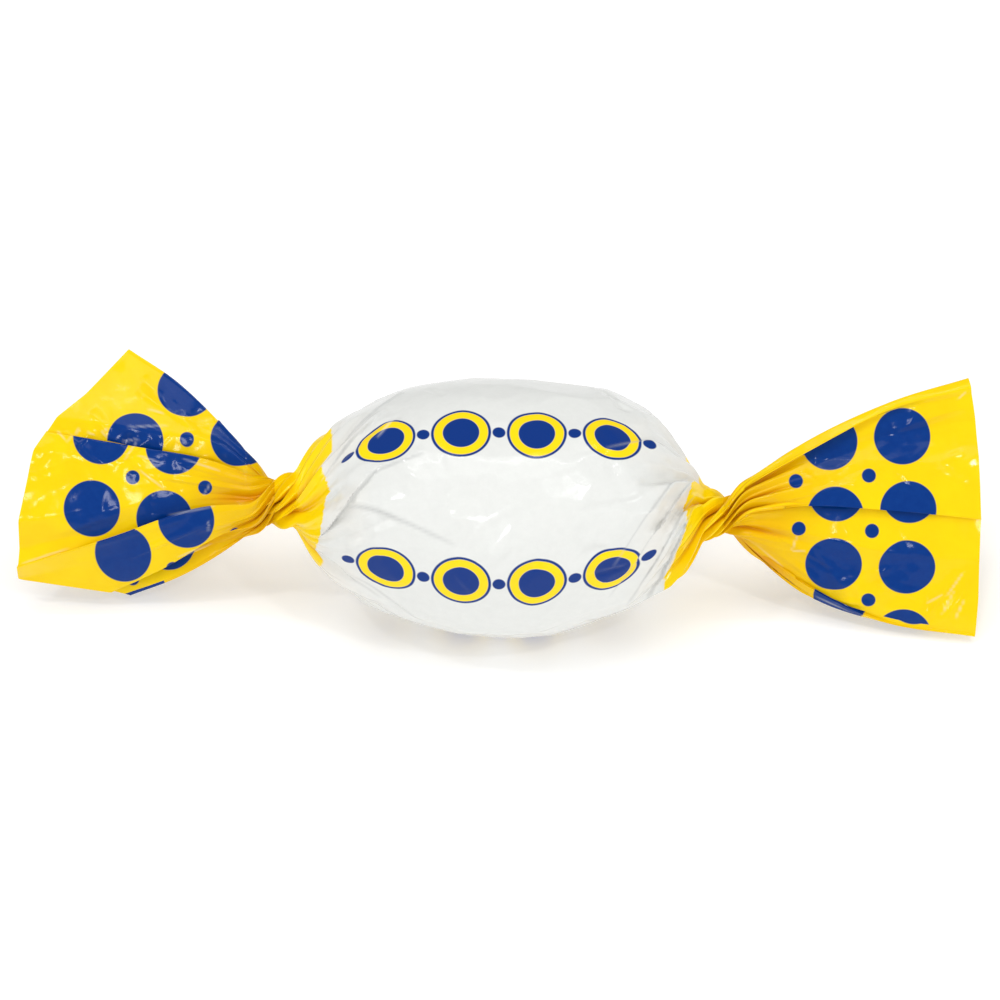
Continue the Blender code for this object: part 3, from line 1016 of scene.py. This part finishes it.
def face_outwards(sheet, form):
    """Turns the sheet inside out if its faces look at the sweet's axis."""
    mesh = sheet.data
    centres, normals = np.empty((2, 3 * len(mesh.polygons)))
    mesh.polygons.foreach_get("center", centres)
    mesh.polygons.foreach_get("normal", normals)
    axis = np.array([0.0, 0.0, form.axis_height * MM])
    off_axis = (centres.reshape(-1, 3) - axis) * [0, 1, 1]
    if (off_axis * normals.reshape(-1, 3)).sum() < 0:
        bpy.ops.object.mode_set(mode="EDIT")
        bpy.ops.mesh.select_all(action="SELECT")
        bpy.ops.mesh.flip_normals()
        bpy.ops.mesh.select_all(action="DESELECT")
        bpy.ops.object.mode_set(mode="OBJECT")


def close_rims(sheet):
    """Fills the open rings at the ends of a rolled sheet."""
    bpy.ops.object.mode_set(mode="EDIT")
    bpy.ops.mesh.select_mode(type="EDGE")
    bpy.ops.mesh.select_all(action="DESELECT")
    bpy.ops.mesh.select_non_manifold(
        extend=False,
        use_wire=False,
        use_multi_face=False,
        use_non_contiguous=False,
        use_verts=False,
    )
    bpy.ops.mesh.edge_face_add()
    bpy.ops.mesh.select_all(action="DESELECT")
    bpy.ops.mesh.select_mode(type="VERT")
    bpy.ops.object.mode_set(mode="OBJECT")


def finish_film(piece, material):
    bpy.context.view_layer.objects.active = piece
    piece.select_set(True)
    bpy.ops.object.shade_smooth_by_angle(angle=SHARP_FOLD)
    piece.data.materials.clear()
    piece.data.materials.append(material)
    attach(piece, BODY)
    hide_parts(NODE)


class Wire:
    """A node's output that takes part in Python sums."""

    def __init__(self, board, socket):
        self.board = board
        self.socket = socket

    def maths(self, operation, *others):
        return self.board.node("Math", self, *others, settings={"operation": operation})

    def __add__(self, other):
        return self.maths("ADD", other)

    def __radd__(self, other):
        return self.maths("ADD", other)

    def __sub__(self, other):
        return self.maths("SUBTRACT", other)

    def __rsub__(self, other):
        return self.board.node("Math", other, self, settings={"operation": "SUBTRACT"})

    def __mul__(self, other):
        return self.maths("MULTIPLY", other)

    def __rmul__(self, other):
        return self.maths("MULTIPLY", other)

    def __truediv__(self, other):
        return self.maths("DIVIDE", other)


class Board:
    """A material's node tree, and one method that adds any node to it."""

    def __init__(self, name):
        self.material = bpy.data.materials.new(name)
        self.material.use_nodes = True
        self.tree = self.material.node_tree
        self.tree.nodes.clear()
        self.output = self.tree.nodes.new("ShaderNodeOutputMaterial")

    def plug(self, socket, value):
        """Links a wire to a socket, or sets a plain value on it."""
        if isinstance(value, Wire):
            self.tree.links.new(value.socket, socket)
        else:
            socket.default_value = value

    def node(self, kind, *inputs, settings=None, out=0, **named):
        """Adds a node, sets its settings first, then its sockets, and gives one of its outputs."""
        node = self.tree.nodes.new("ShaderNode" + kind)
        for key, value in (settings or {}).items():
            setattr(node, key, value)
        for key, value in (*enumerate(inputs), *named.items()):
            self.plug(node.inputs[key.replace("_", " ") if isinstance(key, str) else key], value)
        return Wire(self, node.outputs[out])

    def blend(self, share, low, high):
        """A colour between two colours or wires."""
        node = self.tree.nodes.new("ShaderNodeMix")
        node.data_type = "RGBA"
        self.plug(node.inputs[MIX_SHARE], share)
        for key, colour in ((MIX_LOW, low), (MIX_HIGH, high)):
            self.plug(node.inputs[key], colour if isinstance(colour, Wire) else (*colour[:3], 1.0))
        return Wire(self, node.outputs[MIX_RESULT])

    def step(self, value, edge, softness):
        """0 below the edge and 1 above it, over a narrow ramp."""
        return self.node("Clamp", (value - edge) / softness + 0.5, 0.0, 1.0)

    def noise(self, vector, scale, detail=2.0, roughness=0.5):
        return self.node("TexNoise", Vector=vector, Scale=scale, Detail=detail, Roughness=roughness)

    def field(self, name):
        """One of the film's fields, laid on its points."""
        return self.node("Attribute", settings={"attribute_name": name}, out=ATTRIBUTE_NUMBER)

    def place(self):
        """The place on the piece, in metres."""
        return self.node("TexCoord", out=OBJECT_PLACE)

    def film_map(self):
        """The film's own map, then the way along it and across it, in millimetres."""
        flat = self.node("UVMap", settings={"uv_map": FILM_MAP})
        return flat, self.node("SeparateXYZ", flat, out=0), self.node("SeparateXYZ", flat, out=1)

    def finish(self, shader):
        self.plug(self.output.inputs["Surface"], shader)
        return self.material


def round_spot(board, along, across, radius):
    """1 inside a round spot about the point that the two distances are measured from."""
    reach = (along * along + across * across).maths("SQRT")
    return 1 - board.step(reach, radius, SPOT_EDGE)


def film_surface(board, film_map, colour, roughness, gloss, translucency, crinkle):
    """Printed film: a smooth lacquered plastic skin that lets a little light through."""
    place = board.place()
    drift = board.node("TexNoise", Vector=place, Scale=DRIFT_SCALE, Detail=2.0, out=1)
    warped = board.node(
        "VectorMath", drift, (DRIFT_REACH,) * 3, place, settings={"operation": "MULTIPLY_ADD"}
    )
    facets = board.node("TexVoronoi", Vector=warped, Scale=FACET_SCALE)
    small_facets = board.node("TexVoronoi", Vector=warped, Scale=SMALL_FACET_SCALE)
    grain = board.noise(place, *GRAIN_NOISE)
    relief = facets + small_facets * SMALL_FACET_SHARE + grain * GRAIN_SHARE
    bump = board.node("Bump", Strength=crinkle, Distance=RELIEF_DEPTH, Height=relief)
    shader = board.node(
        "BsdfPrincipled",
        Base_Color=colour,
        Roughness=roughness + board.noise(film_map, ROUGHNESS_SCALE) * ROUGHNESS_DRIFT,
        IOR=FILM_IOR,
        Specular_IOR_Level=gloss,
        Normal=bump,
    )
    glow = board.node("BsdfTranslucent", Color=colour, Normal=bump)
    return board.finish(board.node("MixShader", translucency, shader, glow))


def tail_material(look):
    """Yellow film with rows of large blue dots, small ones between them, and a plain cut edge."""
    board = Board("yellow_film")
    film_map, from_edge, across = board.film_map()
    # Fields of painted shade in the pleat valleys, partly film tucked in layers, and of white on
    # creases and ridges, partly film turned white and partly painted highlights
    tuck, whitening_and_glint = board.field(PAINTED_PLEAT_SHADE), board.field(WHITENING_AND_GLINT)
    pitch = look.dot_pitch
    beside = across.maths("PINGPONG", 0.5 * pitch)
    between = 0.5 * pitch - beside
    first_row = look.plain_strip + look.dot_radius
    spots = None
    for row in range(DOT_ROWS):
        for place, off, radius in ((row, beside, look.dot_radius), (row + 0.5, between, SMALL_DOT)):
            spot = round_spot(board, from_edge - (first_row + place * pitch), off, radius)
            spots = spot if spots is None else spots.maths("MAXIMUM", spot)

    cloud = board.step(board.noise(film_map, *CLOUD_NOISE), *CLOUD_STEP)
    # Deeper yellow towards the neck: partly film stacked in layers, partly painted shade
    inward = board.node("Clamp", (from_edge - DEEPER_FROM) * DEEPER_RATE, 0.0, DEEPER_MOST)
    depth = board.node("Clamp", tuck * PLEAT_SHADE_SHARE + inward + cloud * CLOUD_SHARE, 0.0, 1.0)
    yellow = board.blend(depth, look.yellow, look.deep_yellow)
    colour = board.blend(spots, yellow, look.blue)
    uneven = board.noise(film_map, *UNEVEN_NOISE) * spots * UNEVEN_BLUE_SHARE
    colour = board.blend(uneven, colour, LIGHT_BLUE)
    # Painted highlights along thin creases and pleat ridges, partly film turned white
    colour = board.blend(whitening_and_glint * TAIL_GLINT_SHARE, colour, look.white)
    return film_surface(board, film_map, colour, **TAIL_FINISH)


def belly_material(look, form):
    """White film with rows of ringed dots, running into yellow with a ragged edge at the necks."""
    board = Board("white_film")
    film_map, along, around = board.film_map()
    away = along.maths("ABSOLUTE")
    torn = board.noise(film_map, TORN_SCALE)
    end = board.step(board.field(PAST) + torn * TORN_REACH, *TORN_STEP)

    row_pitch = form.film_round / RING_ROWS
    from_row = 0.5 * row_pitch - around.maths("PINGPONG", 0.5 * row_pitch)
    between = along.maths("PINGPONG", 0.5 * RING_PITCH)
    beside = 0.5 * RING_PITCH - between
    printed = 1 - board.step(away, RINGS_END, RINGS_SOFTNESS)
    outer, middle, inner = (round_spot(board, from_row, beside, radius) for radius in RING_RADII)
    link = round_spot(board, from_row, between, LINK_DOT)
    blue = (outer - middle + inner).maths("MAXIMUM", link) * printed
    gold = (middle - inner) * printed

    mottle = board.noise(board.place(), *MOTTLE_NOISE)
    white = board.blend(mottle, [MOTTLE_WHITE * c for c in look.white], look.white)
    peach = board.step(board.noise(film_map, PEACH_SCALE), *PEACH_STEP)
    white = board.blend(peach * board.step(away, *PEACH_ENDS) * PEACH_SHARE, white, PEACH)
    colour = board.blend(gold, white, look.yellow)
    colour = board.blend(blue, colour, look.blue)
    # Deep yellow in the pleat valleys of the yellow ends: painted shade, partly film tucked in layers
    yellow = board.blend(board.field(PAINTED_PLEAT_SHADE), look.yellow, look.deep_yellow)
    colour = board.blend(end, colour, yellow)
    # Painted highlights along thin creases and pleat ridges, partly film turned white
    colour = board.blend(board.field(WHITENING_AND_GLINT) * BELLY_GLINT_SHARE, colour, look.white)
    # Grey lines of painted shade at the foot of steep creases
    colour = board.blend(board.field(PAINTED_CREASE_SHADE) * PAINTED_CREASE_SHADE_SHARE, colour, PAINTED_CREASE_SHADE_GREY)
    return film_surface(board, film_map, colour, **BELLY_FINISH)


class CARAMEL_OT_belly(bpy.types.Operator):
    """Rolls the film round the sweet and gathers it into the two necks"""

    bl_idname = "caramel.belly"
    bl_label = "Belly film"

    def execute(self, context):
        form = Form(context.scene.caramel_sizes)
        points, maps, column_map, fields = belly_points(form)
        points = form.to_world(points)
        piece = film_sheet(
            "belly_film", BELLY_ROWS, BELLY_COLUMNS, points, maps, column_map, fields
        )
        close_rims(piece)
        face_outwards(piece, form)
        finish_film(piece, belly_material(context.scene.caramel_print, form))
        return {"FINISHED"}


def make_tail(context, tail):
    form = Form(context.scene.caramel_sizes)
    points, maps, column_map, fields = tail_points(form, tail)
    points = form.to_world(points)
    piece = film_sheet(tail.name, TAIL_ROWS, TAIL_COLUMNS, points, maps, column_map, fields)
    face_outwards(piece, form)
    wall = piece.modifiers.new("film", "SOLIDIFY")
    wall.thickness = form.film * MM
    wall.offset = -1
    bpy.ops.object.modifier_apply(modifier=wall.name)
    material = bpy.data.materials.get("yellow_film") or tail_material(context.scene.caramel_print)
    finish_film(piece, material)


class CARAMEL_OT_left_tail(bpy.types.Operator):
    """Folds the film of the left tail, with its flap across the front"""

    bl_idname = "caramel.left_tail"
    bl_label = "Left tail"

    def execute(self, context):
        make_tail(context, LEFT)
        return {"FINISHED"}


class CARAMEL_OT_right_tail(bpy.types.Operator):
    """Folds the film of the right tail, with its band along the upper edge"""

    bl_idname = "caramel.right_tail"
    bl_label = "Right tail"

    def execute(self, context):
        make_tail(context, RIGHT)
        return {"FINISHED"}


def add_floor(studio):
    """The white table, a hair under the sweet, which also glows a little."""
    deselect_all()
    bpy.ops.mesh.primitive_plane_add(size=FLOOR_SIZE, location=(0, 0, -FLOOR_DROP))
    floor = bpy.context.object
    floor.name = "floor"
    board = Board("white_floor")
    shader = board.node(
        "BsdfPrincipled",
        Base_Color=(studio.floor_white, studio.floor_white, studio.floor_white, 1.0),
        Roughness=0.9,
        Specular_IOR_Level=0.1,
        Emission_Color=(1.0, 1.0, 1.0, 1.0),
        Emission_Strength=studio.floor_glow,
    )
    floor.data.materials.append(board.finish(shader))


def add_lamp(name, place, size, power, aim):
    """A rectangular soft lamp that looks at a point."""
    deselect_all()
    bpy.ops.object.light_add(type="AREA", location=place)
    lamp = bpy.context.object
    lamp.name = name
    lamp.data.shape = "RECTANGLE"
    lamp.data.size, lamp.data.size_y = size
    lamp.data.energy = power
    away = Vector(place) - Vector(aim)
    lamp.rotation_euler = away.to_track_quat("Z", "Y").to_euler()


def add_camera(studio, middle):
    """The camera in front of the sweet, which looks down on it."""
    lean = studio.elevation
    bpy.ops.object.camera_add()
    camera = bpy.context.object
    camera.name = "camera"
    camera.data.lens = studio.lens
    camera.data.sensor_width = SENSOR_WIDTH
    camera.data.clip_start = NEAREST_SEEN
    up = (SWEET_ROW - PICTURE_MIDDLE) * PIXEL * MM
    right = (SWEET_COLUMN - PICTURE_MIDDLE) * PIXEL * MM
    camera.location = (
        -right,
        -studio.distance * cos(lean) + up * sin(lean),
        middle[2] + studio.distance * sin(lean) + up * cos(lean),
    )
    camera.rotation_euler = (pi / 2 - lean, 0.0, 0.0)
    return camera


class CARAMEL_OT_stage(bpy.types.Operator):
    """Sets a white floor, soft lamps and the camera"""

    bl_idname = "caramel.stage"
    bl_label = "Studio"

    def execute(self, context):
        scene = context.scene
        add_floor(scene.caramel_studio)
        scene.world = bpy.data.worlds.new("studio")
        scene.world.use_nodes = True
        room = scene.world.node_tree.nodes["Background"]
        room.inputs["Color"].default_value = (1.0, 1.0, 1.0, 1.0)
        room.inputs["Strength"].default_value = ROOM_LIGHT
        middle = (0.0, 0.0, Form(scene.caramel_sizes).axis_height * MM)
        for name, place, size, power in LAMPS:
            add_lamp(name, place, size, power, middle)
        scene.camera = add_camera(scene.caramel_studio, middle)
        scene.view_settings.view_transform = "Standard"
        return {"FINISHED"}


class CARAMEL_PT_panel(bpy.types.Panel):
    """Lists the sizes, the print and the steps in order"""

    bl_idname = "CARAMEL_PT_panel"
    bl_label = "Twist-wrapped caramel"
    bl_space_type = "VIEW_3D"
    bl_region_type = "UI"
    bl_category = "Caramel"

    def draw(self, context):
        layout, scene = self.layout, context.scene
        for group in (scene.caramel_sizes, scene.caramel_print, scene.caramel_studio):
            box = layout.box()
            for name in group.__annotations__:
                box.prop(group, name)
        for step in STEPS:
            layout.operator(step.bl_idname)


STEPS = (CARAMEL_OT_belly, CARAMEL_OT_left_tail, CARAMEL_OT_right_tail, CARAMEL_OT_stage)
CLASSES = (CaramelSizes, CaramelPrint, CaramelStudio, *STEPS, CARAMEL_PT_panel)


def register():
    for each in CLASSES:
        bpy.utils.register_class(each)
    bpy.types.Scene.caramel_sizes = bpy.props.PointerProperty(type=CaramelSizes)
    bpy.types.Scene.caramel_print = bpy.props.PointerProperty(type=CaramelPrint)
    bpy.types.Scene.caramel_studio = bpy.props.PointerProperty(type=CaramelStudio)


def unregister():
    del bpy.types.Scene.caramel_studio
    del bpy.types.Scene.caramel_print
    del bpy.types.Scene.caramel_sizes
    for each in reversed(CLASSES):
        bpy.utils.unregister_class(each)


def main():
    register()
    bpy.ops.caramel.belly()
    bpy.ops.caramel.left_tail()
    bpy.ops.caramel.right_tail()
    bpy.ops.caramel.stage()


if __name__ == "__main__":
    main()
